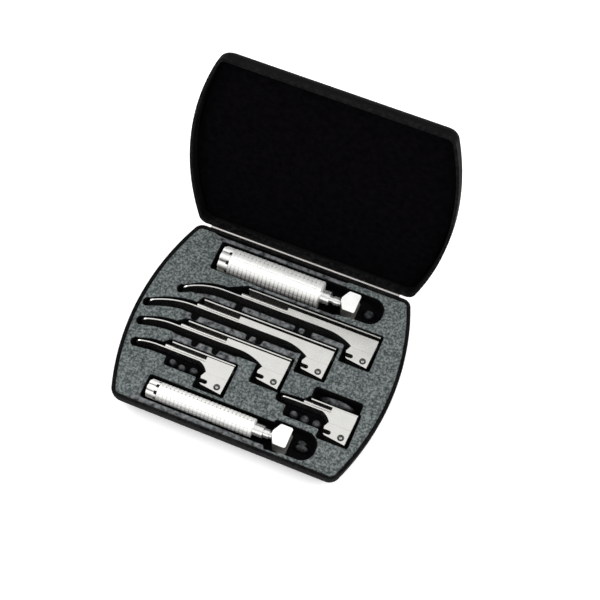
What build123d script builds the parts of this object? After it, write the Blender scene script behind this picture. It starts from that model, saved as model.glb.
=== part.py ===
from build123d import *
import os
from math import asin, cos, degrees, radians, sin, sqrt

# A hook-on laryngoscope set in its open carrying case: two battery handles and five straight blades.
# Millimetres. The origin is the middle of the case's underside, +X runs along the hinge, +Y points to
# the hinge and +Z is up.

# ---------------------------------------------------------------- driving dimensions
case_width = 271.0  # over the bowed sides
case_depth = 208.0
case_side_bow = 20.5  # how far each side bulges past its corners
base_height = 30.0
lid_height = 26.0
lip_height = 3.0  # upright band below the base's rim
lid_lip_height = 8.0
edge_round = 22.0  # how far the rounded edge runs in under the shell
wall = 3.0
foam_gap = 0.3
rear_corner = 10.0
front_corner = 10.0
foam_top = 29.5
lid_open = 106.3  # degrees from closed
lining_depth = 10.0  # from the lid's rim to the face of its lining

knuckle_radius = 1.35
hinge_leaf_thickness = 0.7
hinge_leaf_width = 8.5
hinge_pin_radius = 0.65
hinge_running_gap = 0.05
hinge_length = 206.0
knuckle_count = 16
knuckle_gap = 0.3
rim_gap = 0.3
rivet_places = [-88, -44, 0, 44, 88]
rivet_radius = 1.2
rivet_drop = 5.6  # from the hinge axis to the row of rivets

block_width = 25.0  # heel block, along the blade
block_thickness = 12.7
block_drop = 25.0  # from the blade's underside to the block's lower edge
# the block's front edge, from its lower corner up: along the blade from the block's front, and below the blade
block_front = [(2.3, -22.3), (0.4, -21.0), (-1.2, -13.7), (0.8, -9.5), (1.5, -8.0)]
block_heel_lean = 1.0
gusset_sag = 3.2  # lowest point of the curve under the gusset
block_top = 29.0
channel_top = 28.6
side_plate_thickness = 2.6
side_plate_height = 7.0
sheet = 1.2  # blade sheet metal
web_sheet = 1.0
tube_radius = 1.7
hook_width = 4.5
hook_depth = 7.5
hook_below = 18.7  # hook slot's middle below the blade's underside
ball_radius = 1.9
ball_bore = 1.95
ball_proud = 0.5
ball_from_heel = 7.0
ball_below = 19.3
recess_floor = 14.4
ball_seat_radius = 3.4  # conical seat round each ball
ball_seat_depth = 0.9
joint_line_below = 9.2  # fine line where the block meets its side plate
joint_line_width = 0.4
joint_line_depth = 0.25
recess_depth_below = 7.5  # foam recess past the blade's underside
# cross cuts through the foam ridges between the long blades: middle, width, and reach along Y
ridge_cuts = [
    (-40, 6.5, 24, 36), (22, 3.5, 24, 36), (34, 6.5, 24, 36), (-76, 7, 1, 10), (-18.5, 3.5, 1, 10),
    (-7, 6, 1, 10), (-64, 6, -26, -17), (-42, 6, -26, -17),
]

# Blade sizes, longest first: where the heel stands, overall length, the length and radius of the bent
# tip, height and width of the channel, reach of the side plate and of the lamp tube, and the gusset.
blades = [
    dict(size=4, heel=102.0, base=42.5, length=203.0, bend=40.0, radius=68.0, height=13.0,
         width=14.0, plate=96.0, lamp=145.0, flange=141.0, gusset=28.0),
    dict(size=3, heel=66.0, base=15.0, length=192.0, bend=44.0, radius=84.0, height=11.8,
         width=14.0, plate=100.0, lamp=145.0, flange=141.0, gusset=26.0),
    dict(size=2, heel=30.5, base=-12.0, length=153.5, bend=31.0, radius=74.0, height=10.8,
         width=13.0, plate=66.5, lamp=115.0, flange=110.0, gusset=26.0),
    dict(size=1, heel=-17.5, base=-38.5, length=100.5, bend=23.0, radius=72.0, height=10.0,
         width=11.5, plate=28.5, lamp=71.5, flange=67.0, gusset=9.0),
    dict(size=0, heel=112.0, base=-41.0, length=76.0, bend=20.0, radius=300.0, height=9.2,
         width=11.0, plate=25.5, lamp=53.5, flange=48.0, gusset=9.0),
]

# Handles: axis, barrel, the size of its cells, where each section ends along X, the end cap with its lobes,
# and the gap in the foam behind the cap.
handles = [
    dict(name="large", axis_y=78.0, axis_z=23.7, radius=14.3, bore=13.4, cell=13.0, rear=-68.3,
         front=29.5, neck=7.1, neck_end=39.0, bead=43.7, head=51.2, cap=11.3, lobe=5.0,
         pocket_gap=5.5),
    dict(name="small", axis_y=-82.0, axis_z=25.0, radius=9.5, bore=7.9, cell=7.4, rear=-74.5,
         front=24.5, neck=6.2, neck_end=34.7, bead=35.5, head=43.8, cap=11.3, lobe=3.4,
         pocket_gap=3.5),
]
head_length = 17.3
head_width = 21.8
head_thickness = 20.4
head_taper = 4.0
fork_gap = 13.2
fork_depth = 11.5
head_corner = 1.2
throat_radius = 3.7  # slim neck behind the head
bead_radius = 4.6
bead_length = 5.5
crossbar_radius = 2.0
crossbar_offset = 6.3
crossbar_from_floor = 6.4
detent_radius = 1.6  # dimples inside the fork for the blade's balls
detent_depth = 0.8
plunger_radius = 1.4
plunger_tip = 2.1
plunger_bore = 2.5
cap_spigot = 3.0
cap_gap = 0.2
cap_lobes = 8
cap_first_lobe = 14.0  # degrees from the hinge side, up round the cap
cap_crown = 2.2  # rounded outer end of each lobe
notch_radius = 2.0  # notches between the lobes, next to the barrel
notch_length = 2.6
head_break = 0.5  # broken edge round the head's two faces
block_break = 0.3  # broken edge round the heel block's two faces
cell_nub = 1.5
handle_clearance = 0.4
barrel_pocket_gap = 2.8
# pocket round a head and the thumb hollow past it: reach along the handle, to the front and to the hinge
head_pocket = (12.0, 16.2, 15.6)
thumb_hollow = (44.0, 14.6, 15.6)
thumb_corner = 13.5
# finger hollows beside the two short blades: left, right, front, rear
finger_hollows = [(-83, -42, -55.5, -41), (44, 90, -59.5, -43.5), (63, 113, -33, -19)]
hollow_floor = 12.0

os.makedirs("parts", exist_ok=True)

# from the hook's middle to the ball, along the block's width and towards its lower edge
ball_from_hook = block_width - (hook_depth - hook_width / 2) - ball_from_heel
ball_beyond_hook = ball_below - hook_below

hinge_y = case_depth / 2 + 0.05 + knuckle_radius
hinge_z = base_height + rim_gap / 2
half_depth = case_depth / 2
side_radius = (half_depth**2 + case_side_bow**2) / (2 * case_side_bow)
swing = radians(-lid_open)
lid_out = Vector(0, -sin(swing), cos(swing))  # out of the lid's rim towards its crown
lid_back = Vector(0, cos(swing), sin(swing))  # along the lid towards the hinge
lid_plane = Plane(origin=(0, hinge_y, hinge_z), x_dir=(1, 0, 0), z_dir=lid_out)


def save(piece, name):
    piece.part.label = name
    export_step(piece.part, f"parts/{name}.step")


# ---------------------------------------------------------------- case
def bowed_outline(plane, inset, corner_change, y_middle):
    """The case's outline on a plane, inset all round."""
    reach = half_depth - inset
    side = case_width / 2 - inset
    corner_x = case_width / 2 - side_radius + sqrt((side_radius - inset) ** 2 - reach**2)
    low, high = y_middle - reach, y_middle + reach
    with BuildSketch(plane) as outline:
        with BuildLine():
            Line((-corner_x, low), (corner_x, low))
            ThreePointArc((corner_x, low), (side, y_middle), (corner_x, high))
            Line((corner_x, high), (-corner_x, high))
            ThreePointArc((-corner_x, high), (-side, y_middle), (-corner_x, low))
        make_face()
        corners = vertices().sort_by(Axis.Y)
        fillet(corners[-2:], rear_corner + corner_change)
        fillet(outline.vertices().sort_by(Axis.Y)[:2], front_corner + corner_change)
    return outline.sketch


def rounded_tray(plane, y_middle, lip, crown, inset, mode):
    """A loft from the upright lip round to the flat crown of a shell, or of what fills it."""
    steps = 6
    sections = []
    for step in range(steps + 1):
        turn = radians(90) * step / steps
        run_in = (edge_round - wall / 2) * (1 - cos(turn))
        level = plane.offset(lip + (crown - lip) * sin(turn))
        sections.append(bowed_outline(level, inset + run_in, 0.4 * run_in - inset, y_middle))
    loft(sections, mode=mode)


def upright_band(plane, y_middle, rim, lip, inset, mode):
    """The straight-walled band between the rim and the start of the rounded edge."""
    extrude(bowed_outline(plane.offset(rim), inset, -inset, y_middle), amount=lip - rim, mode=mode)


def rivet_row(plane, radius, start, end, mode):
    """Round rivet bodies or holes, on a plane whose normal runs through the rear wall."""
    with BuildSketch(plane.offset(start)) as row:
        with Locations([(x, rivet_drop) for x in rivet_places]):
            Circle(radius)
    extrude(row.sketch, amount=end - start, mode=mode)


# Planes on the hinge axis that look through the rear wall of each shell: local +Y runs away from the rim.
base_wall = Plane(origin=(0, hinge_y, hinge_z), x_dir=(1, 0, 0), z_dir=(0, 1, 0))
lid_wall = Plane(origin=(0, hinge_y, hinge_z), x_dir=(-1, 0, 0), z_dir=lid_back)
leaf_face = -knuckle_radius  # shell side of each hinge leaf
inner_wall = leaf_face - wall - 1

base_lip = base_height - lip_height
with BuildPart() as case_base_shell:
    upright_band(Plane.XY, 0, base_height, base_lip, 0, Mode.ADD)
    rounded_tray(Plane.XY, 0, base_lip, 0, 0, Mode.ADD)
    upright_band(Plane.XY, 0, base_height, base_lip, wall, Mode.SUBTRACT)
    rounded_tray(Plane.XY, 0, base_lip, wall, wall, Mode.SUBTRACT)
    rivet_row(base_wall, rivet_radius, inner_wall, 0, Mode.SUBTRACT)
save(case_base_shell, "case_base_shell")

lid_rim = rim_gap / 2
lid_lip = lid_rim + lid_lip_height
lid_crown = lid_rim + lid_height
with BuildPart() as case_lid_shell:
    upright_band(lid_plane, -hinge_y, lid_rim, lid_lip, 0, Mode.ADD)
    rounded_tray(lid_plane, -hinge_y, lid_lip, lid_crown, 0, Mode.ADD)
    upright_band(lid_plane, -hinge_y, lid_rim, lid_lip, wall, Mode.SUBTRACT)
    rounded_tray(lid_plane, -hinge_y, lid_lip, lid_crown - wall, wall, Mode.SUBTRACT)
    rivet_row(lid_wall, rivet_radius, inner_wall, 0, Mode.SUBTRACT)
save(case_lid_shell, "case_lid_shell")

with BuildPart() as lid_lining:
    rounded_tray(lid_plane, -hinge_y, lid_lip, lid_crown - wall - foam_gap, wall + foam_gap, Mode.ADD)
    split(bisect_by=lid_plane.offset(lid_rim + lining_depth), keep=Keep.TOP)
save(lid_lining, "lid_lining")


# ---------------------------------------------------------------- piano hinge
def hinge_leaf(name, along, side, first):
    """One leaf: a strip on the shell's rear wall, with every second knuckle of the hinge."""
    pitch = hinge_length / knuckle_count
    section = Plane(origin=(-hinge_length / 2, hinge_y, hinge_z), x_dir=along, z_dir=(1, 0, 0))
    strip_middle = leaf_face + hinge_leaf_thickness / 2
    clear = knuckle_radius + knuckle_gap
    with BuildPart() as leaf:
        with BuildSketch(section):
            with Locations((strip_middle, side * (clear + hinge_leaf_width) / 2)):
                Rectangle(hinge_leaf_thickness, hinge_leaf_width - clear)
        extrude(amount=hinge_length)
        for number in range(first, knuckle_count, 2):
            with BuildSketch(section.offset(number * pitch + knuckle_gap / 2)):
                Circle(knuckle_radius)
                with Locations((strip_middle, side * clear / 2)):
                    Rectangle(hinge_leaf_thickness, clear + 0.1)
                Circle(hinge_pin_radius + hinge_running_gap, mode=Mode.SUBTRACT)
            extrude(amount=pitch - knuckle_gap)
        rivet_row(base_wall if side < 0 else lid_wall, rivet_radius, -3, 0, Mode.SUBTRACT)
    save(leaf, name)


def hinge_rivets(name, plane):
    """Rivets with a domed outer head, flush inside the wall."""
    shank_end = leaf_face - wall + 0.4
    head_start = leaf_face + hinge_leaf_thickness
    with BuildPart() as rivets:
        rivet_row(plane, rivet_radius, shank_end, head_start, Mode.ADD)
        rivet_row(plane, 2 * rivet_radius, head_start, head_start + 0.7, Mode.ADD)
        heads = edges().filter_by(GeomType.CIRCLE).filter_by(lambda e: e.radius > 2 * rivet_radius - 0.1)
        fillet([e for e in heads if plane.to_local_coords(e.center()).Z > head_start + 0.5], 0.5)
    save(rivets, name)


hinge_leaf("hinge_base_leaf", Vector(0, 1, 0), -1, 0)
hinge_leaf("hinge_lid_leaf", lid_back, 1, 1)
hinge_rivets("hinge_base_rivets", base_wall)
hinge_rivets("hinge_lid_rivets", lid_wall)

with BuildPart() as hinge_pin:
    with BuildSketch(Plane(origin=(-hinge_length / 2, hinge_y, hinge_z), z_dir=(1, 0, 0))):
        Circle(hinge_pin_radius)
    extrude(amount=hinge_length)
save(hinge_pin, "hinge_pin")


# ---------------------------------------------------------------- blades
def blade_plane(blade, height):
    """A level plane with its origin where the blade's underside meets the heel."""
    return Plane(origin=(blade["heel"], blade["base"], height))


def blade_path(blade, rise):
    """The blade's side view as a line, straight from the heel and then bent down to the tip."""
    straight = blade["length"] - blade["bend"]
    turn = degrees(asin(blade["bend"] / blade["radius"]))
    with BuildLine() as path:
        Line((0, rise), (-straight, rise))
        JernArc((-straight, rise), (-1, 0), blade["radius"] + rise, turn)
    return path.line


def tip_drop(blade):
    return blade["radius"] - sqrt(blade["radius"] ** 2 - blade["bend"] ** 2)


def make_channel(blade):
    """Spatula, web and flange in one sheet-metal channel, open towards the top of the case."""
    floor = channel_top - blade["width"]
    straight = blade["length"] - blade["bend"]
    height = blade["height"]
    with BuildPart() as channel:
        with BuildSketch(blade_plane(blade, floor)):
            trace(blade_path(blade, sheet / 2), line_width=sheet)
        extrude(amount=blade["width"])
        tip = edges().filter_by(lambda e: abs(e.tangent_at(0).Z) < 0.01).sort_by(Axis.X)[:2]
        fillet(tip, 0.4 * blade["width"])
        with BuildSketch(blade_plane(blade, floor)):
            Polygon((0, 0.1), (0, height), (-blade["flange"], height), (-straight, 0.1), align=None)
        extrude(amount=web_sheet)
        with BuildSketch(blade_plane(blade, floor)):
            with BuildLine():
                Polyline((0, height - sheet / 2), (-blade["flange"], height - sheet / 2))
            trace(line_width=sheet)
        extrude(amount=blade["width"] - 1.6)
        with BuildSketch(blade_plane(blade, block_top)):
            with Locations((-blade["plate"] / 2, side_plate_height / 2)):
                Rectangle(blade["plate"], side_plate_height + 0.2)
        extrude(amount=-side_plate_thickness, mode=Mode.SUBTRACT)
    save(channel, f"blade_{blade['size']}_channel")


def make_heel_block(blade):
    """Hook-on block under the heel, with its side plate reaching forward along the channel."""
    gusset = blade["gusset"]
    left = -block_width
    with BuildPart() as block:
        with BuildSketch(blade_plane(blade, block_top - block_thickness)):
            with BuildLine():
                run = Polyline(
                    (left - gusset, 0), (0, 0), (-block_heel_lean, -block_drop),
                    *[(left + x, y) for x, y in block_front],
                )
                ThreePointArc(run @ 1, (left - 0.32 * gusset, -gusset_sag), run @ 0)
            make_face()
        extrude(amount=block_thickness)
        outlines = edges().filter_by(lambda e: e.center().Y < blade["base"] - 5).group_by(Axis.Z)
        chamfer(outlines[0] + outlines[-1], block_break)
        with BuildSketch(blade_plane(blade, block_top - block_thickness)):
            with BuildLine():
                slot = Line((left - 3, -hook_below), (left + hook_depth - hook_width / 2, -hook_below))
            trace(line_width=hook_width)
            with Locations(slot @ 1):
                Circle(hook_width / 2)
        extrude(amount=block_thickness, mode=Mode.SUBTRACT)
        with BuildSketch(blade_plane(blade, block_top - side_plate_thickness)):
            Polygon(
                (0, -0.5), (0, side_plate_height), (-blade["plate"], side_plate_height),
                (-blade["plate"], 0), (left, 0), (left, -0.5), align=None,
            )
        extrude(amount=side_plate_thickness)
        with Locations(blade_plane(blade, block_top)):
            with Locations((-ball_from_heel, -ball_below)):
                Hole(ball_bore, depth=block_thickness)
        seat_x, seat_y = blade["heel"] - ball_from_heel, blade["base"] - ball_below
        lower_face = block_top - block_thickness
        with Locations((seat_x, seat_y, block_top - ball_seat_depth / 2)):
            Cone(ball_bore, ball_seat_radius, ball_seat_depth, mode=Mode.SUBTRACT)
        with Locations((seat_x, seat_y, lower_face + ball_seat_depth / 2)):
            Cone(ball_seat_radius, ball_bore, ball_seat_depth, mode=Mode.SUBTRACT)
        with BuildSketch(blade_plane(blade, block_top)):
            with Locations((left / 2, -joint_line_below)):
                Rectangle(block_width + 4, joint_line_width)
        extrude(amount=-joint_line_depth, mode=Mode.SUBTRACT)
    save(block, f"blade_{blade['size']}_heel_block")


def make_lamp_tube(blade):
    """Lamp tube along the spatula, with a wider bevelled hood at its front, and the lamp in it."""
    middle = Plane(
        origin=(blade["heel"], blade["base"] + sheet + 0.4 + tube_radius, channel_top - tube_radius - 0.4),
        z_dir=(-1, 0, 0),
    )
    hood_radius = tube_radius + 0.4
    hood_start = blade["lamp"] - 9
    with BuildPart() as tube:
        with BuildSketch(middle.offset(blade["plate"] + 0.05)):
            Circle(tube_radius)
        extrude(amount=hood_start - blade["plate"])
        with BuildSketch(middle.offset(hood_start)):
            Circle(hood_radius)
        extrude(amount=9)
        with BuildSketch(middle.offset(blade["lamp"] - 4)):
            Circle(hood_radius - 0.5)
        extrude(amount=5, mode=Mode.SUBTRACT)
    save(tube, f"blade_{blade['size']}_lamp_tube")
    with BuildPart() as lamp:
        with BuildSketch(middle.offset(blade["lamp"] - 4)):
            Circle(hood_radius - 0.6)
        extrude(amount=3.4)
        fillet(edges().filter_by(GeomType.CIRCLE).sort_by(Axis.X)[0], 1.2)
    save(lamp, f"blade_{blade['size']}_lamp")


def coil_spring(start, direction, length, radius, wire, turns):
    """A helical compression spring, as a closed solid."""
    rise = length - 2 * wire
    with BuildPart() as spring:
        with BuildLine():
            coil = Helix(rise / turns, rise, radius, center=start, direction=direction)
        with BuildSketch(Plane(origin=coil @ 0, z_dir=coil % 0)):
            Circle(wire)
        sweep(path=coil, is_frenet=True)
    return spring


def make_detent(blade):
    """Two spring-loaded balls, one in each face of the heel block, pushed apart by one spring."""
    x = blade["heel"] - ball_from_heel
    y = blade["base"] - ball_below
    upper = block_top + ball_proud - ball_radius
    lower = block_top - block_thickness - ball_proud + ball_radius
    for name, z in (("upper", upper), ("lower", lower)):
        with BuildPart() as ball:
            with Locations((x, y, z)):
                Sphere(ball_radius)
        save(ball, f"blade_{blade['size']}_{name}_ball")
    gap = upper - lower - 2 * ball_radius
    spring = coil_spring((x, y, lower + ball_radius + 0.35), (0, 0, 1), gap, 1.2, 0.3, 4)
    save(spring, f"blade_{blade['size']}_detent_spring")


for blade in blades:
    make_channel(blade)
    make_heel_block(blade)
    make_lamp_tube(blade)
    make_detent(blade)


# ---------------------------------------------------------------- handles
def handle_plane(handle, x):
    """Across the handle's axis at x, looking along +X, with local X along +Y."""
    return Plane(origin=(x, handle["axis_y"], handle["axis_z"]), x_dir=(0, 1, 0), z_dir=(1, 0, 0))


def turned(handle, start, end, radius, mode=Mode.ADD):
    """A plain cylinder on the handle's axis."""
    with BuildSketch(handle_plane(handle, start)) as disc:
        Circle(radius)
    extrude(disc.sketch, amount=end - start, mode=mode)


def rounded_lobe(radius, length):
    """One lobe of an end cap: a cylinder along Z from the origin, rounded at its start."""
    with BuildPart() as lobe:
        Cylinder(radius, length, align=(Align.CENTER, Align.CENTER, Align.MIN))
        fillet(edges().filter_by(GeomType.CIRCLE).sort_by(Axis.Z)[0], cap_crown)
    return lobe.part


def make_handle(handle):
    name = handle["name"]
    rear, front, radius = handle["rear"], handle["front"], handle["radius"]
    neck_root = front - 1.1
    with BuildPart() as barrel:
        turned(handle, rear, front, radius)
        chamfer(edges().filter_by(GeomType.CIRCLE), 0.5)
        turned(handle, rear, neck_root, handle["bore"], Mode.SUBTRACT)
        turned(handle, rear, front, handle["neck"] - 1, Mode.SUBTRACT)
    save(barrel, f"{name}_barrel")

    knob_end, knob_face = rear - handle["cap"], rear - cap_gap
    lobe, half_pitch = handle["lobe"], radians(180 / cap_lobes)
    lobe_centre = radius - lobe
    crease = lobe_centre * cos(half_pitch) + sqrt(lobe**2 - (lobe_centre * sin(half_pitch)) ** 2)
    with BuildPart() as cap:
        turned(handle, knob_end, knob_face, lobe_centre)
        with Locations(handle_plane(handle, knob_end)):
            with PolarLocations(lobe_centre, cap_lobes, cap_first_lobe):
                add(rounded_lobe(lobe, knob_face - knob_end))
        with BuildSketch(handle_plane(handle, knob_face - notch_length)) as notches:
            with PolarLocations(crease, cap_lobes, cap_first_lobe + degrees(half_pitch)):
                Circle(notch_radius)
        extrude(notches.sketch, amount=notch_length, mode=Mode.SUBTRACT)
        turned(handle, rear - cap_gap, rear + cap_spigot, handle["bore"] - 0.1)
        turned(handle, rear - 7, rear + cap_spigot, 0.62 * handle["bore"], Mode.SUBTRACT)
    save(cap, f"{name}_end_cap")

    spring_seat = rear - 7
    cells_rear = rear + cap_spigot + 0.3
    spring_radius = 0.4 * handle["bore"]
    spring = coil_spring(
        (spring_seat + 0.6, handle["axis_y"], handle["axis_z"]), (1, 0, 0),
        cells_rear - spring_seat - 0.6, spring_radius, 0.5, 4,
    )
    save(spring, f"{name}_cap_spring")

    cell_pitch = (neck_root - 0.3 - cells_rear) / 2
    with BuildPart() as cells:
        for number in range(2):
            start = cells_rear + number * cell_pitch
            turned(handle, start, start + cell_pitch - cell_nub - 0.1, handle["cell"])
            turned(handle, start + 1, start + cell_pitch - 0.1, 0.25 * handle["cell"])
    save(cells, f"{name}_battery_cells")

    head = handle["head"]
    fork_floor = head + head_length - fork_depth
    half = head_width / 2
    crossbar_x, crossbar_y = fork_floor + crossbar_from_floor, handle["axis_y"] + crossbar_offset
    with BuildPart() as head_block:
        with BuildSketch(Plane.XY.offset(handle["axis_z"] - head_thickness / 2)):
            Polygon(
                *[(head + x, handle["axis_y"] + y) for x, y in (
                    (0, -throat_radius / 2), (0, throat_radius / 2), (head_taper, half - head_corner),
                    (head_taper + head_corner, half), (head_length - head_corner, half),
                    (head_length, half - head_corner), (head_length, head_corner - half),
                    (head_length - head_corner, -half), (head_taper + head_corner, -half),
                    (head_taper, head_corner - half),
                )], align=None,
            )
        extrude(amount=head_thickness)
        outlines = edges().group_by(Axis.Z)
        chamfer(outlines[0] + outlines[-1], head_break)
        turned(handle, neck_root + 0.1, head + 3, throat_radius)
        turned(handle, neck_root + 0.1, front, handle["neck"] - 1.05)
        turned(handle, front, handle["neck_end"], handle["neck"])
        turned(handle, handle["bead"], handle["bead"] + bead_length, bead_radius)
        with BuildSketch(handle_plane(handle, fork_floor)):
            Rectangle(head_width + 2, fork_gap)
        extrude(amount=fork_depth + 1, mode=Mode.SUBTRACT)
        turned(handle, neck_root - 1, fork_floor - 3, plunger_bore, Mode.SUBTRACT)
        turned(handle, neck_root - 1, fork_floor + 1, plunger_tip + 0.1, Mode.SUBTRACT)
        with Locations((crossbar_x, crossbar_y, handle["axis_z"])):
            Cylinder(crossbar_radius + 0.01, head_thickness, mode=Mode.SUBTRACT)
        with Locations((crossbar_x - ball_beyond_hook, crossbar_y - ball_from_hook, handle["axis_z"])):
            Cylinder(detent_radius, fork_gap + 2 * detent_depth, mode=Mode.SUBTRACT)
    save(head_block, f"{name}_fork_head")

    with BuildPart() as crossbar:
        with Locations((crossbar_x, crossbar_y, handle["axis_z"])):
            Cylinder(crossbar_radius, head_thickness)
    save(crossbar, f"{name}_crossbar")

    collar = fork_floor - 3 - 1.5 - 0.05
    with BuildPart() as plunger:
        turned(handle, neck_root + 6, fork_floor + 2, plunger_radius)
        turned(handle, fork_floor - 2.5, fork_floor + 2.5, plunger_tip)
        turned(handle, collar, collar + 1.5, plunger_bore - 0.1)
        fillet(edges().filter_by(GeomType.CIRCLE).sort_by(Axis.X)[-1], 1.2)
    save(plunger, f"{name}_contact_plunger")
    plunger_spring = coil_spring(
        (neck_root, handle["axis_y"], handle["axis_z"]), (1, 0, 0),
        collar - neck_root - 0.2, plunger_radius + 0.55, 0.3, 8,
    )
    save(plunger_spring, f"{name}_plunger_spring")


for handle in handles:
    make_handle(handle)


# ---------------------------------------------------------------- foam insert
def blade_recess(blade):
    """The foam recess of one blade, as a sketch outline round its side view."""
    length, straight = blade["length"], blade["length"] - blade["bend"]
    drop, above = tip_drop(blade), blade["height"] + 1.2
    block_left = -block_width - 4.5
    with BuildSketch(blade_plane(blade, foam_top)) as recess:
        with BuildLine():
            top = Polyline(
                (-straight + 2, 5), (-blade["flange"] - 2, above), (3, above), (3, -block_drop - 3),
                (block_left, -block_drop - 3), (block_left, -recess_depth_below),
                (-straight, -recess_depth_below),
            )
            below = ThreePointArc(
                top @ 1, (-length + 0.45 * blade["bend"], -0.3 * drop - recess_depth_below),
                (-length, -drop - recess_depth_below + 1),
            )
            nose = ThreePointArc(below @ 1, (-length - 4.5, -drop - 2), (-length + 1, -drop + 3.5))
            ThreePointArc(nose @ 1, (-length + 0.5 * blade["bend"], -0.25 * drop + 4.2), top @ 0)
        make_face()
    extrude(recess.sketch, amount=recess_floor - foam_top, mode=Mode.SUBTRACT)


def foam_pocket(left, right, low, high, floor, corner):
    """A pocket with rounded corners, from one side to the other of each axis."""
    with BuildSketch(Plane.XY.offset(foam_top)) as pocket:
        with Locations(((left + right) / 2, (low + high) / 2)):
            RectangleRounded(right - left, high - low, corner)
    extrude(pocket.sketch, amount=floor - foam_top, mode=Mode.SUBTRACT)


with BuildPart() as foam_insert:
    upright_band(Plane.XY, 0, foam_top, base_lip, wall + foam_gap, Mode.ADD)
    rounded_tray(Plane.XY, 0, base_lip, wall + foam_gap, wall + foam_gap, Mode.ADD)
    for blade in blades:
        blade_recess(blade)
    for handle in handles:
        rear, radius = handle["rear"] - handle["cap"], handle["radius"]
        head, y, z = handle["head"], handle["axis_y"], handle["axis_z"]
        side = radius + barrel_pocket_gap
        foam_pocket(rear - handle["pocket_gap"], head, y - side, y + side, z - radius - handle_clearance, 1.5)
        head_floor = z - head_thickness / 2 - handle_clearance
        reach, low, high = head_pocket
        foam_pocket(head - 3, head + reach, y - low, y + high, head_floor, 2.5)
        reach, low, high = thumb_hollow
        foam_pocket(head - 2, head + reach, y - low, y + high, head_floor, thumb_corner)
    for left, right, low, high in finger_hollows:
        foam_pocket(left, right, low, high, hollow_floor, 3)
    for x, width, low, high in ridge_cuts:
        foam_pocket(x - width / 2, x + width / 2, low, high, recess_floor, 0.45 * width)
save(foam_insert, "foam_insert")
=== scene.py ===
# Looks for the laryngoscope set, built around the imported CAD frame.
import math

import bmesh
import bpy
import numpy as np
from mathutils import Matrix, Vector, noise


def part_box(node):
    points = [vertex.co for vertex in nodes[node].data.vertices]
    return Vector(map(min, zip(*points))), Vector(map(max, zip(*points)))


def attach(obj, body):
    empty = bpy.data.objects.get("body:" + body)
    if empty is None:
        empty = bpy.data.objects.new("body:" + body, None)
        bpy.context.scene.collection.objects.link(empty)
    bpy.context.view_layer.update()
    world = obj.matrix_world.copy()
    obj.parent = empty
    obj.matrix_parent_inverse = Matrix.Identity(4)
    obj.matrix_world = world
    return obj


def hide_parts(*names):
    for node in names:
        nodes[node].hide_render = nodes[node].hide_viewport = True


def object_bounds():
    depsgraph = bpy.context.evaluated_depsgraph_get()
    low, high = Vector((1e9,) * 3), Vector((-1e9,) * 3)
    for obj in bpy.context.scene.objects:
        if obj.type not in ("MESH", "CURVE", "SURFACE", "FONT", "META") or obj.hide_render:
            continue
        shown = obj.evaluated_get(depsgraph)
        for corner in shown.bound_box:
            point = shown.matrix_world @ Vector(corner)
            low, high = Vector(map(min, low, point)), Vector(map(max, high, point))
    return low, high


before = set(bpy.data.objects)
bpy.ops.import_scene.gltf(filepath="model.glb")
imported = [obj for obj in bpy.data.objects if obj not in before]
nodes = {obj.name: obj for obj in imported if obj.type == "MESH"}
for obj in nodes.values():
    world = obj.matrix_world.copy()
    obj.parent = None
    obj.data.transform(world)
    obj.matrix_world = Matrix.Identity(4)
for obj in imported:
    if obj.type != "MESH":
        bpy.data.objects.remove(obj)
cad_low, cad_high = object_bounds()
MM = 0.001

# Places on the CAD pieces that the finishes follow.
seat_radius = 3.45 * MM  # of the seat round a blade's ball
channel_shade_from, channel_shade_full = 24 * MM, 21 * MM  # heights where a channel's inside turns to painted shade
head_reach = 17.8 * MM  # from a fork head's end back to its neck
head_top_band = 0.8 * MM
notch_reach = 2.8 * MM  # the end cap's notches, behind the barrel
edge = 0.3 * MM  # width of a change from one finish to the next

bpy.context.scene.view_settings.view_transform = "Standard"


# ---------------------------------------------------------------- camera, floor and light
def make_camera():
    """The photograph's view: long lens, high over the front right corner, tilted a little."""
    azimuth, elevation, roll = (math.radians(a) for a in (19.517, 61.467, 3.230))
    distance, sideways, upward = 1.3807, 0.035973, 0.046125
    target = Vector((0, -0.001, 0.030))
    back = Vector((
        math.sin(azimuth) * math.cos(elevation),
        -math.cos(azimuth) * math.cos(elevation),
        math.sin(elevation),
    ))
    level = Vector((math.cos(azimuth), math.sin(azimuth), 0))
    above = back.cross(level)
    right = level * math.cos(roll) + above * math.sin(roll)
    up = above * math.cos(roll) - level * math.sin(roll)
    data = bpy.data.cameras.new("camera")
    data.lens, data.sensor_width = 84.667, 36
    data.clip_start, data.clip_end = 0.05, 50
    camera = bpy.data.objects.new("camera", data)
    place = target + back * distance + right * sideways + up * upward
    camera.matrix_world = Matrix.Translation(place) @ Matrix((right, up, back)).transposed().to_4x4()
    bpy.context.scene.collection.objects.link(camera)
    bpy.context.scene.camera = camera
    return back


def softbox(name, direction, distance, size, radiance):
    """A square area light of that radiance, aimed at the middle of the set."""
    middle = (cad_low + cad_high) / 2
    direction = Vector(direction).normalized()
    data = bpy.data.lights.new(name, "AREA")
    data.shape, data.size = "SQUARE", size
    data.energy = radiance * math.pi * size * size
    light = bpy.data.objects.new(name, data)
    light.location = middle + direction * distance
    light.rotation_mode = "QUATERNION"
    light.rotation_quaternion = direction.to_track_quat("Z", "Y")
    bpy.context.scene.collection.objects.link(light)


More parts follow.
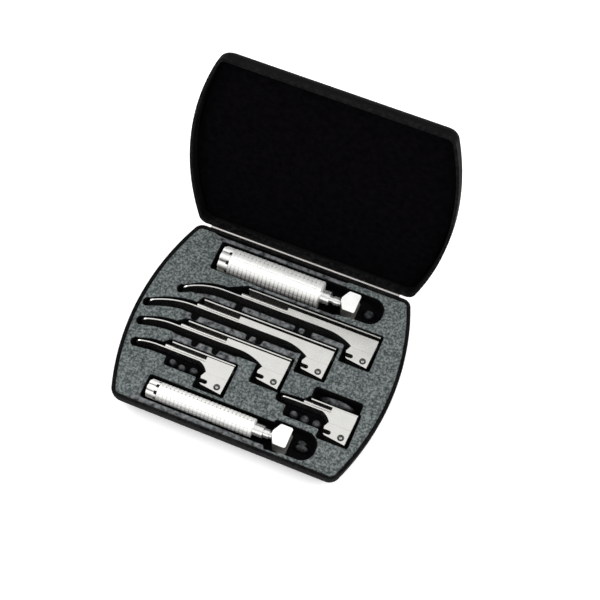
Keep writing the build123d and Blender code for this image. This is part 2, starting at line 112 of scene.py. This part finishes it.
def make_world(gap):
    """A pale studio all round, with a dark gap in its ceiling towards gap, where the photographer stood."""
    world = bpy.data.worlds.new("studio")
    world.use_nodes = True
    tree = world.node_tree
    background = tree.nodes["Background"]
    place = tree.nodes.new("ShaderNodeTexCoord")
    toward = tree.nodes.new("ShaderNodeVectorMath")
    toward.operation = "DOT_PRODUCT"
    toward.inputs[1].default_value = gap
    share = tree.nodes.new("ShaderNodeMapRange")
    for name, value in (("From Min", 0.93), ("From Max", 0.975), ("To Min", 0.85), ("To Max", 0.10)):
        share.inputs[name].default_value = value
    tree.links.new(place.outputs["Generated"], toward.inputs[0])
    tree.links.new(toward.outputs["Value"], share.inputs["Value"])
    tree.links.new(share.outputs["Result"], background.inputs["Strength"])
    background.inputs["Color"].default_value = (1.0, 1.0, 1.0, 1)
    bpy.context.scene.world = world


# ---------------------------------------------------------------- materials
class Finish:
    """A node material: a Principled shader and short ways to feed it."""

    def __init__(self, name, color, roughness, metallic=0.0, specular=0.5):
        self.material = bpy.data.materials.new(name)
        self.material.use_nodes = True
        self.tree = self.material.node_tree
        self.shader = self.tree.nodes["Principled BSDF"]
        self.set("Base Color", (*color, 1))
        self.set("Roughness", roughness)
        self.set("Metallic", metallic)
        self.set("Specular IOR Level", specular)
        self.place = self.add("ShaderNodeTexCoord").outputs["Object"]

    def set(self, name, value):
        self.shader.inputs[name].default_value = value

    def add(self, kind, **values):
        node = self.tree.nodes.new(kind)
        for name, value in values.items():
            setattr(node, name, value)
        return node

    def link(self, source, target):
        self.tree.links.new(source, target)

    def stretched(self, scale):
        """Object coordinates scaled along each axis."""
        mapping = self.add("ShaderNodeMapping")
        mapping.inputs["Scale"].default_value = scale
        self.link(self.place, mapping.inputs["Vector"])
        return mapping.outputs["Vector"]

    def noise(self, size, detail=3.0, rough=0.5, place=None):
        """Noise whose features are about size metres across."""
        node = self.add("ShaderNodeTexNoise")
        node.inputs["Scale"].default_value = 1 / size
        node.inputs["Detail"].default_value = detail
        node.inputs["Roughness"].default_value = rough
        self.link(place or self.place, node.inputs["Vector"])
        return node.outputs["Fac"]

    def cells(self, size, feature="F1"):
        node = self.add("ShaderNodeTexVoronoi", feature=feature)
        node.inputs["Scale"].default_value = 1 / size
        self.link(self.place, node.inputs["Vector"])
        return node.outputs["Distance"]

    def attribute(self, name):
        node = self.add("ShaderNodeAttribute", attribute_name=name)
        return node.outputs["Fac"]

    def part_of(self, vector, axis):
        node = self.add("ShaderNodeSeparateXYZ")
        self.link(vector, node.inputs["Vector"])
        return node.outputs[axis]

    def facing(self, axis):
        """The surface normal's share along that axis."""
        return self.part_of(self.add("ShaderNodeTexCoord").outputs["Normal"], axis)

    def away_from_line(self, point, along):
        """Distance from a line through point that runs along that axis."""
        across = Vector([float(axis != along) for axis in "XYZ"])
        flat = self.add("ShaderNodeVectorMath", operation="MULTIPLY")
        flat.inputs[1].default_value = across
        self.link(self.place, flat.inputs[0])
        away = self.add("ShaderNodeVectorMath", operation="DISTANCE")
        away.inputs[1].default_value = point * across
        self.link(flat.outputs["Vector"], away.inputs[0])
        return away.outputs["Value"]

    def spread(self, source, low, high, start=0.0, end=1.0):
        """source from low..high taken to start..end."""
        node = self.add("ShaderNodeMapRange", clamp=True)
        for name, value in zip(("From Min", "From Max", "To Min", "To Max"), (low, high, start, end)):
            node.inputs[name].default_value = value
        self.link(source, node.inputs["Value"])
        return node.outputs["Result"]

    def sum(self, first, second, operation="ADD"):
        node = self.add("ShaderNodeMath", operation=operation)
        for number, source in enumerate((first, second)):
            if isinstance(source, (int, float)):
                node.inputs[number].default_value = source
            else:
                self.link(source, node.inputs[number])
        return node.outputs["Value"]

    def ramp(self, source, *stops):
        """A colour ramp; each stop is (position, colour)."""
        node = self.add("ShaderNodeValToRGB")
        elements = node.color_ramp.elements
        while len(elements) < len(stops):
            elements.new(0.5)
        for element, (position, color) in zip(elements, stops):
            element.position, element.color = position, (*color, 1)
        self.link(source, node.inputs["Fac"])
        return node.outputs["Color"]

    def blend(self, share, first, second):
        node = self.add("ShaderNodeMix", data_type="RGBA")
        self.link(share, node.inputs["Factor"])
        for socket, source in ((node.inputs[6], first), (node.inputs[7], second)):
            if isinstance(source, tuple):
                socket.default_value = (*source, 1)
            else:
                self.link(source, socket)
        return node.outputs[2]

    def bump(self, height, depth, strength=1.0, after=None):
        node = self.add("ShaderNodeBump")
        node.inputs["Distance"].default_value = depth
        node.inputs["Strength"].default_value = strength
        self.link(height, node.inputs["Height"])
        if after is not None:
            self.link(after, node.inputs["Normal"])
        return node.outputs["Normal"]

    def use(self, **sources):
        names = {"color": "Base Color", "roughness": "Roughness", "normal": "Normal"}
        for name, source in sources.items():
            self.link(source, self.shader.inputs[names[name]])
        return self.material


def moulded_plastic():
    """Black satin plastic with a fine moulded grain, rubbed a little brighter along its edges."""
    f = Finish("case_plastic", (0.004, 0.004, 0.004), 0.6, specular=0.02)
    cloud, grain = f.noise(30 * MM, 4), f.noise(0.55 * MM, 2, 0.6)
    corner = f.add("ShaderNodeNewGeometry").outputs["Pointiness"]
    wear_and_lid_reflection = f.sum(f.spread(corner, 0.53, 0.62), f.spread(f.noise(4 * MM, 5), 0.4, 0.65), "MULTIPLY")
    base = f.ramp(cloud, (0.3, (0.0024, 0.0024, 0.0026)), (0.7, (0.0052, 0.0050, 0.0053)))
    return f.use(
        color=f.blend(wear_and_lid_reflection, base, (0.015, 0.014, 0.014)),
        roughness=f.sum(f.spread(cloud, 0.3, 0.7, 0.54, 0.66), f.spread(grain, 0.3, 0.7, -0.05, 0.05)),
        normal=f.bump(grain, 0.08 * MM, 0.6),
    )


def charcoal_foam():
    """Open-cell foam: grey-green flecks on top, near black in the cuts, where little light gets in."""
    f = Finish("foam", (0.1, 0.1, 0.1), 1.0, specular=0.05)
    fleck = f.noise(2.4 * MM, 3, 0.6)
    fine = f.noise(0.7 * MM, 1, 0.5)
    pore = f.cells(0.9 * MM)
    mottle = f.sum(f.sum(fleck, 0.72, "MULTIPLY"), f.sum(fine, 0.28, "MULTIPLY"))
    top = f.ramp(
        mottle, (0.38, (0.034, 0.040, 0.041)), (0.49, (0.084, 0.098, 0.098)), (0.60, (0.200, 0.220, 0.215)),
    )
    soft = f.noise(5.5 * MM, 2)
    blotch = f.sum(f.sum(soft, 0.6, "MULTIPLY"), f.sum(mottle, 0.4, "MULTIPLY"))
    ridge = f.ramp(blotch, (0.40, (0.026, 0.028, 0.031)), (0.60, (0.190, 0.198, 0.204)))
    cut = f.ramp(mottle, (0.35, (0.0015, 0.0015, 0.0017)), (0.65, (0.0065, 0.0065, 0.0070)))
    face = f.blend(f.attribute("ridge"), top, ridge)
    height = f.sum(f.sum(fleck, 0.5, "MULTIPLY"), f.sum(pore, 0.6, "MULTIPLY"))
    return f.use(color=f.blend(f.attribute("top"), cut, face), normal=f.bump(height, 0.5 * MM, 0.7))


def velour():
    """Near-black brushed lining of the lid."""
    f = Finish("lid_velour", (0.002, 0.002, 0.002), 1.0, specular=0.0)
    nap, fibre = f.noise(6 * MM, 3), f.noise(0.7 * MM, 2, 0.6)
    mixed = f.sum(f.sum(nap, 0.4, "MULTIPLY"), f.sum(fibre, 0.6, "MULTIPLY"))
    return f.use(
        color=f.ramp(mixed, (0.3, (0.0006, 0.0005, 0.0007)), (0.7, (0.0040, 0.0034, 0.0042))),
        normal=f.bump(fibre, 0.3 * MM, 0.6),
    )


def ground_steel(name, low, high, smooth, rough, grain, scratches=0.02, painted_channel_shade=False, seat=None):
    """Satin metal with a fine grain stretched along grain's long axis. In a channel piece, the level face
    at the bottom of a blade's channel is dull and painted dark, as painted shade. Round a ball's seat, the
    metal is duller and painted dark as shade under the ball."""
    f = Finish(name, high, rough, metallic=1.0)
    lines = f.noise(0.35 * MM, 4, 0.6, f.stretched(grain))
    patch = f.noise(14 * MM, 3)
    tone = f.sum(f.sum(lines, 0.55, "MULTIPLY"), f.sum(patch, 0.45, "MULTIPLY"))
    color = f.ramp(tone, (0.35, low), (0.6, high))
    roughness = f.spread(tone, 0.35, 0.65, rough, smooth)
    if painted_channel_shade:
        # Painted shade: the upward faces low in the channel are darkened, standing for the shade between the
        # channel's sides.
        low_down = f.spread(f.part_of(f.place, "Z"), channel_shade_from, channel_shade_full)
        inside = f.sum(f.spread(f.facing("Z"), 0.4, 0.8), low_down, "MULTIPLY")
        color = f.blend(inside, color, (0.035, 0.034, 0.034))
    if seat is not None:
        # Painted shade: within the seat round the ball the steel is darkened as shade under the ball, and
        # made duller.
        ring = f.spread(f.away_from_line(seat, "Z"), seat_radius + edge / 3, seat_radius - edge / 3)
        color = f.blend(ring, color, (0.085, 0.085, 0.082))
        roughness = f.sum(roughness, f.sum(ring, 0.30, "MULTIPLY"))
    return f.use(
        color=color,
        roughness=roughness,
        normal=f.bump(lines, scratches * MM, 0.5),
    )


def chrome(name="handle_chrome", satin_from=None, satin_above=None):
    """Polished plating with faint smears. A fork head has a softer neck. Past satin_from along X its
    top face, the one above satin_above, is satin and its other faces are painted dark, a painted reflection
    of the dark foam."""
    f = Finish(name, (0.9, 0.9, 0.89), 0.08, metallic=1.0)
    smear, speck = f.noise(9 * MM, 4, 0.6), f.noise(0.4 * MM, 2)
    polish = f.sum(f.spread(smear, 0.35, 0.7, 0.06, 0.15), f.spread(speck, 0.4, 0.7, 0.0, 0.03))
    color = f.ramp(smear, (0.3, (0.90, 0.90, 0.88)), (0.65, (0.97, 0.97, 0.96)))
    if satin_from is not None:
        head = f.spread(f.part_of(f.place, "X"), satin_from, satin_from + 0.5 * MM)
        on_top = f.spread(f.part_of(f.place, "Z"), satin_above - edge, satin_above)
        level = f.sum(f.spread(f.facing("Z"), 0.3, 0.6), on_top, "MULTIPLY")
        satin = f.sum(head, level, "MULTIPLY")
        side = f.sum(head, satin, "SUBTRACT")
        neck = f.spread(head, 0, 1, 1.0, 0.0)
        polish = f.sum(polish, f.sum(head, 0.36, "MULTIPLY"))
        polish = f.sum(polish, f.sum(neck, 0.10, "MULTIPLY"))
        metal = f.sum(f.spread(satin, 0, 1, 0.60, 0.15), f.sum(neck, 0.18, "MULTIPLY"))
        f.link(metal, f.shader.inputs["Metallic"])
        # Painted reflection of the dark foam: the head's faces other than its top are darkened.
        color = f.blend(side, color, (0.17, 0.165, 0.155))
    return f.use(
        color=color,
        roughness=polish,
        normal=f.bump(speck, 0.004 * MM, 0.5),
    )


def satin_plating(name):
    """Satin plating, bare: its finish and its colour."""
    f = Finish(name, (0.97, 0.97, 0.95), 0.36, metallic=0.35)
    smear, speck = f.noise(9 * MM, 4, 0.6), f.noise(0.5 * MM, 2)
    f.use(
        roughness=f.sum(f.spread(smear, 0.35, 0.7, 0.32, 0.44), f.spread(speck, 0.4, 0.7, 0.0, 0.05)),
        normal=f.bump(speck, 0.02 * MM, 0.5),
    )
    return f, f.ramp(smear, (0.3, (0.94, 0.94, 0.92)), (0.65, (0.99, 0.99, 0.97)))


def satin_chrome():
    """The grips, with painted shade in the grooves of the knurling, darkest near the crown as a painted
    reflection of the dark lid, and a painted reflection of the dark foam on their front side.
    """
    f, plate = satin_plating("satin_chrome")
    # Painted shade: the groove attribute darkens the plate in the grooves and on the front side.
    return f.use(color=f.blend(f.attribute("groove"), plate, (0.13, 0.12, 0.11)))


def cap_chrome(name, axis, radius, rear, front_shade_share):
    """An end cap with painted shade: grey in the creases between its lobes and black in the notches. Its
    front side is darker, a painted reflection of the dark foam."""
    f, plate = satin_plating(name)
    away = f.away_from_line(axis, "X")
    round_face = f.spread(f.facing("X"), -0.7, -0.4)
    crease = f.sum(f.spread(away, 0.94 * radius, 0.87 * radius), round_face, "MULTIPLY")
    beside = f.spread(f.part_of(f.place, "X"), rear - notch_reach - edge, rear - notch_reach)
    notch = f.sum(f.spread(away, 0.955 * radius, 0.92 * radius), beside, "MULTIPLY")
    # Painted shade: grey in the creases between the lobes, black in the notches behind the barrel.
    color = f.blend(crease, plate, (0.20, 0.195, 0.185))
    # Painted reflection of the dark foam: the cap is darker on its front side.
    color = f.blend(f.spread(f.facing("Y"), -0.50, -0.95, 0, front_shade_share), color, (0.13, 0.12, 0.10))
    return f.use(color=f.blend(notch, color, (0.012, 0.012, 0.012)))


def lamp_glass():
    f = Finish("lamp_glass", (0.95, 0.96, 0.95), 0.05)
    f.set("Transmission Weight", 0.9)
    f.set("IOR", 1.5)
    swirl = f.noise(1.2 * MM, 2)
    return f.use(
        color=f.ramp(swirl, (0.3, (0.88, 0.90, 0.88)), (0.7, (0.97, 0.97, 0.95))),
        roughness=f.spread(swirl, 0.3, 0.7, 0.02, 0.10),
    )


def floor_finish():
    f = Finish("pale_floor", (0.9, 0.9, 0.9), 0.9, specular=0.1)
    f.set("Emission Color", (1, 1, 1, 1))
    f.set("Emission Strength", 0.35)
    patch = f.noise(0.5, 2)
    return f.use(color=f.ramp(patch, (0.3, (0.965, 0.965, 0.965)), (0.7, (0.98, 0.98, 0.98))))


ALONG_X, EVEN = (0.03, 1, 1), (1, 1, 1)
BLADE_STEEL = ((0.77, 0.765, 0.735), (0.88, 0.875, 0.845), 0.20, 0.32, ALONG_X)
painted_front_shade = {"large": 0.85, "small": 0.25}  # painted reflection of the dark foam, on the front side of each handle
finishes = {
    "case_shell": moulded_plastic(),
    "foam": charcoal_foam(),
    "lining": velour(),
    "handle_chrome": chrome(),
    "satin_chrome": satin_chrome(),
    "lamp_glass": lamp_glass(),
}
# Ground metals: darkest and lightest colour, least and most roughness, and the grain.
metals = {
    "hinge_steel": ((0.60, 0.57, 0.55), (0.74, 0.71, 0.69), 0.24, 0.38, ALONG_X),
    "steel": ((0.70, 0.69, 0.67), (0.82, 0.81, 0.79), 0.14, 0.24, EVEN, 0.01),
    "ball_steel": ((0.36, 0.36, 0.35), (0.46, 0.46, 0.45), 0.40, 0.52, EVEN, 0.01),
    "blade_steel": BLADE_STEEL,
    "black_rivet": ((0.010, 0.010, 0.010), (0.022, 0.021, 0.021), 0.4, 0.5, EVEN),
    "spring_steel": ((0.45, 0.45, 0.46), (0.60, 0.60, 0.60), 0.20, 0.35, EVEN),
    "contact_brass": ((0.66, 0.47, 0.20), (0.80, 0.60, 0.28), 0.20, 0.34, EVEN),
    "cell_can": ((0.48, 0.48, 0.50), (0.60, 0.60, 0.62), 0.25, 0.38, ALONG_X),
}
for metal, values in metals.items():
    finishes[metal] = ground_steel(metal, *values)


def dress_cad_nodes():
    # Steel with painted shade on the floor of each blade's channel.
    channel_with_painted_shade = ground_steel("blade_channel_steel", *BLADE_STEEL, painted_channel_shade=True)
    for name, node in nodes.items():
        finish = finishes[node.material_slots[0].material.name]
        if name.endswith("_channel"):
            finish = channel_with_painted_shade
        elif name.endswith("_heel_block"):
            ball_low, ball_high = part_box(name.replace("heel_block", "upper_ball"))
            finish = ground_steel(f"{name}_steel", *BLADE_STEEL, seat=(ball_low + ball_high) / 2)
        elif name.endswith("_ball"):
            finish = finishes["ball_steel"]
        elif name.endswith(("_fork_head", "_crossbar")):
            head_low, head_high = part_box(name.replace("crossbar", "fork_head"))
            finish = chrome(
                f"{name}_chrome",
                satin_from=head_high.x - head_reach,
                satin_above=head_high.z - head_top_band,
            )
        elif name.endswith("_end_cap"):
            low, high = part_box(name.replace("end_cap", "barrel"))
            finish = cap_chrome(
                f"{name}_chrome", (low + high) / 2, (high.z - low.z) / 2, low.x, painted_front_shade[name.split("_")[0]],
            )
        elif name.endswith("_rivets"):
            finish = finishes["black_rivet"]
        for place in node.material_slots:
            place.material = finish


# ---------------------------------------------------------------- mesh helpers
def new_object(name, mesh, finish, smooth=True):
    piece = bpy.data.objects.new(name, mesh)
    bpy.context.scene.collection.objects.link(piece)
    mesh.materials.clear()
    mesh.materials.append(finishes[finish])
    mesh.polygons.foreach_set("use_smooth", [smooth] * len(mesh.polygons))
    return piece


def remeshed_copy(node_name, piece_name, finish, voxel, smoothing):
    """A dense, closed copy of a CAD node, with its corners softened."""
    mesh = nodes[node_name].data.copy()
    if mesh.has_custom_normals:
        mesh.attributes.remove(mesh.attributes["custom_normal"])
    working = bpy.data.objects.new("working", mesh)
    bpy.context.scene.collection.objects.link(working)
    weld = working.modifiers.new("weld", "WELD")
    weld.merge_threshold = 1e-6
    remesh = working.modifiers.new("remesh", "REMESH")
    remesh.mode, remesh.voxel_size = "VOXEL", voxel
    soften = working.modifiers.new("soften", "SMOOTH")
    soften.factor, soften.iterations = 0.5, smoothing
    result = bpy.data.meshes.new_from_object(working.evaluated_get(bpy.context.evaluated_depsgraph_get()))
    result.name = piece_name
    bpy.data.objects.remove(working)
    return new_object(piece_name, result, finish)


def positions(mesh):
    co = np.empty(len(mesh.vertices) * 3, np.float32)
    mesh.vertices.foreach_get("co", co)
    return co.reshape(-1, 3).astype(float)


def move_to(mesh, co):
    mesh.vertices.foreach_set("co", co.astype(np.float32).ravel())
    mesh.update()


def normals_of(mesh):
    found = np.empty(len(mesh.vertices) * 3, np.float32)
    mesh.vertex_normals.foreach_get("vector", found)
    return found.reshape(-1, 3).astype(float)


def lumps(co, size, seed):
    """Seeded smooth noise at each point, about -1 to 1."""
    offset = Vector((seed * 7.3, seed * 3.1, seed * 5.7))
    return np.array([noise.noise(Vector(p) / size + offset) for p in co])


def step(values, low, high):
    t = np.clip((values - low) / (high - low), 0, 1)
    return t * t * (3 - 2 * t)


def between(values, low, high, soft):
    """1 from low to high and 0 beyond, with soft edges that reach soft to each side."""
    return step(values, low - soft, low + soft) * step(-values, -high - soft, -high + soft)


def blurred(mesh, values, rounds):
    """values averaged over each vertex's neighbours, rounds times."""
    ends = np.empty(len(mesh.edges) * 2, np.int32)
    mesh.edges.foreach_get("vertices", ends)
    first, second = ends.reshape(-1, 2).T
    count = np.bincount(first, minlength=len(values)) + np.bincount(second, minlength=len(values))
    for _ in range(rounds):
        total = np.bincount(first, values[second], len(values))
        total += np.bincount(second, values[first], len(values))
        values = 0.4 * values + 0.6 * total / count
    return values


def give_attribute(mesh, name, values):
    attribute = mesh.attributes.new(name, "FLOAT", "POINT")
    attribute.data.foreach_set("value", values.astype(np.float32))


# ---------------------------------------------------------------- foam insert and lid lining
# Where the foam is lower and softer than its top face, in mm: two corners in X and Y, and how much
# lower. They are the ridges between the blades and the strips behind and before the handles.
soft_ridges = [
    (-88, 80, 27.2, 36.0, 1.5), (-88, 33, -1.0, 8.5, 1.5), (-88, -20, -28.5, -18.5, 1.5),
    (-35, 52, 55.7, 61.8, 0.8), (-94, 50, 94.6, 104, 2.4), (-98, 44, -104, -93.9, 2.0),
]
# Nubs of foam left on the floors of the hollows, in mm: middle, reach in X and Y, height.
nubs = [
    (-77.5, -45.5, 4, 3.5, 8), (-67.0, -47.5, 4, 3.5, 8), (-54.5, -46.0, 4.5, 3.5, 8),
    (53.0, -50.5, 4.5, 4, 8.5), (64.5, -51.5, 4.5, 4.5, 9), (77.0, -51.0, 4.5, 4, 8),
    (88.0, -24.5, 19, 3.6, 11), (80.5, 80.5, 5.5, 5, 5), (73.5, -80.0, 7, 3.2, 5), (72.0, -75.0, 5, 3, 4),
]


ridge_end, ridge_side = 3, 0.5  # half the width of a ridge's soft ends and sides, in mm
hollow_floors = (9.5, 17.5)  # heights between which an upward face is the floor of a hollow, in mm


def make_foam():
    """The foam insert, with softer ridges between its recesses and nubs in its hollows."""
    piece = remeshed_copy("foam_insert", "foam_bed", "foam", 0.9 * MM, 2)
    mesh = piece.data
    low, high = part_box("foam_insert")
    co, normal = positions(mesh), normals_of(mesh)
    x, y, height = co[:, 0].copy(), co[:, 1].copy(), co[:, 2].copy()
    top = step(height, high.z - 1.1 * MM, high.z - 0.3 * MM) * step(normal[:, 2], 0.25, 0.75)
    ridge = np.zeros(len(co))
    for x0, x1, y0, y1, drop in soft_ridges:
        inside = between(x / MM, x0, x1, ridge_end) * between(y / MM, y0, y1, ridge_side)
        co[:, 2] -= drop * MM * inside * step(height, high.z - 8 * MM, high.z)
        ridge = np.maximum(ridge, inside)
    for axis in range(3):
        shift = blurred(mesh, co[:, axis].copy(), 8) - co[:, axis]
        co[:, axis] += shift * ridge * step(height, 20 * MM, 24 * MM)
    crowned = step(blurred(mesh, top, 12), 0.25, 0.85)
    top += (crowned * top - top) * ridge
    floor_like = step(normal[:, 2], 0.6, 0.9) * between(height / MM, *hollow_floors, 0.5)
    for mid_x, mid_y, reach_x, reach_y, rise in nubs:
        away = ((x / MM - mid_x) / reach_x) ** 2 + ((y / MM - mid_y) / reach_y) ** 2
        dome = step(1.6 - away, 0, 1.3) * floor_like
        co[:, 2] += rise * MM * dome
        top = np.maximum(top, 0.55 * step(dome, 0.55, 0.95))
        ridge = np.maximum(ridge, step(dome, 0.3, 0.6))
    give_attribute(mesh, "top", top)
    give_attribute(mesh, "ridge", ridge)
    co += normal * (lumps(co, 2.2 * MM, 1) * 0.10 * MM)[:, None]
    co = np.clip(co, np.array(low), np.array(high))
    move_to(mesh, co)
    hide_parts("foam_insert")
    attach(piece, "case_base")


def make_lining():
    piece = remeshed_copy("lid_lining", "lid_pad", "lining", 1.6 * MM, 6)
    mesh = piece.data
    co, normal = positions(mesh), normals_of(mesh)
    co += normal * (lumps(co, 9 * MM, 2) * 0.15 * MM)[:, None]
    move_to(mesh, co)
    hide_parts("lid_lining")
    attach(piece, "case_lid")


# ---------------------------------------------------------------- knurled handle barrels
def make_barrel(name, pitch, flutes, turned, plain_rear, plain_front):
    """A tube with ring grooves crossed by long grooves, which leave rows of raised pads."""
    low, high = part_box(f"{name}_barrel")
    cell_low, cell_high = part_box(f"{name}_battery_cells")
    axis_y, axis_z = (low.y + high.y) / 2, (low.z + high.z) / 2
    radius = (high.z - low.z) / 2
    bore = (cell_high.z - cell_low.z) / 2 + 0.4 * MM
    chamfer, groove, depth, shoulder = 0.5 * MM, 1.0 * MM, 0.26 * MM, 1.1 * MM
    around = 20 * flutes
    start, end = low.x + plain_rear, high.x - plain_front
    rings = round((end - start) / pitch)
    pitch = (end - start) / rings
    loop = [(low.x, bore, 0), (low.x, radius - chamfer, 0), (low.x + chamfer, radius, 0)]
    for x in np.linspace(low.x + 2 * chamfer, high.x - 2 * chamfer, 14 * rings + 40):
        loop.append((x, radius, 1))
    inner = high.x - shoulder
    loop += [(high.x - chamfer, radius, 0), (high.x, radius - chamfer, 0), (high.x, bore * 0.5, 0)]
    loop += [(inner, bore * 0.5, 0), (inner, bore, 0)]
    angle = np.arange(around) * 2 * math.pi / around
    crown = math.radians(58)  # the grooves are painted darkest up here, towards the hinge, as a reflection of the dark lid
    front = math.radians(207)  # the lower front side, which carries a painted reflection of the dark foam
    # Painted reflection of the dark foam: the barrel is darker on its lower front side.
    front_side = painted_front_shade[name] * step(np.cos(angle - front), 0.10, 0.65)
    share = (angle - turned) / (2 * math.pi) * flutes
    long_groove = np.abs((share + 0.5) % 1 - 0.5) * 2 * math.pi * radius / flutes
    long_cut = 1 - step(long_groove, 0.25 * groove, 0.75 * groove)
    # Painted reflection of the dark lid: the grooves darken most near the crown.
    wear_and_lid_reflection = 0.30 + 0.70 * step(np.cos(angle - crown), 0.80, 0.95)
    verts, faces, groove_share = [], [], []
    for x, r, worked in loop:
        ring_cut = 0.0
        if worked and start - 0.5 * pitch < x < end + 0.5 * pitch:
            away = abs(((x - start) / pitch + 0.5) % 1 - 0.5) * pitch
            ring_cut = 1 - step(np.array(away), 0.25 * groove, 0.75 * groove)
        in_field = worked * float(start <= x <= end)
        cut = np.maximum(ring_cut * worked, long_cut * in_field) * depth
        # Painted shade in the grooves, strongest where ring and long grooves cross.
        groove_shade = 0.10 * cut / depth + 0.90 * ring_cut * long_cut * in_field * wear_and_lid_reflection
        groove_share.extend(np.clip(groove_shade + front_side * (0.70 + 0.30 * ring_cut), 0, 1))
        for a, c in zip(angle, cut):
            verts.append((x, axis_y + (r - c) * math.cos(a), axis_z + (r - c) * math.sin(a)))
    count = len(loop)
    for i in range(count):
        j = (i + 1) % count
        for k in range(around):
            n = (k + 1) % around
            faces.append((i * around + k, i * around + n, j * around + n, j * around + k))
    mesh = bpy.data.meshes.new(f"{name}_knurled_barrel")
    mesh.from_pydata(verts, [], faces)
    give_attribute(mesh, "groove", np.array(groove_share))
    piece = new_object(f"{name}_knurled_barrel", mesh, "satin_chrome")
    bm = bmesh.new()
    bm.from_mesh(mesh)
    bmesh.ops.recalc_face_normals(bm, faces=bm.faces)
    bm.to_mesh(mesh)
    bm.free()
    mesh.set_sharp_from_angle(angle=math.radians(50))
    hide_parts(f"{name}_barrel")
    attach(piece, f"{name}_handle")


# ---------------------------------------------------------------- put together
make_world(make_camera())
softbox("overhead_left", (-0.9, -0.1, 0.9), 1.8, 1.3, 2.8)
softbox("overhead_right", (0.9, 0.1, 0.9), 1.8, 1.3, 2.8)
softbox("front_low", (0.1, -0.9, 0.35), 1.7, 1.0, 0.45)

bpy.ops.mesh.primitive_plane_add(size=12, location=(0, 0, cad_low.z - 0.0002))
floor = bpy.context.object
floor.name = "floor"
floor.data.materials.append(floor_finish())

dress_cad_nodes()
make_foam()
make_lining()
make_barrel("large", 4.4 * MM, 12, math.radians(8.7), 3.2 * MM, 3.6 * MM)
make_barrel("small", 4.1 * MM, 12, math.radians(8.7), 3.0 * MM, 3.4 * MM)
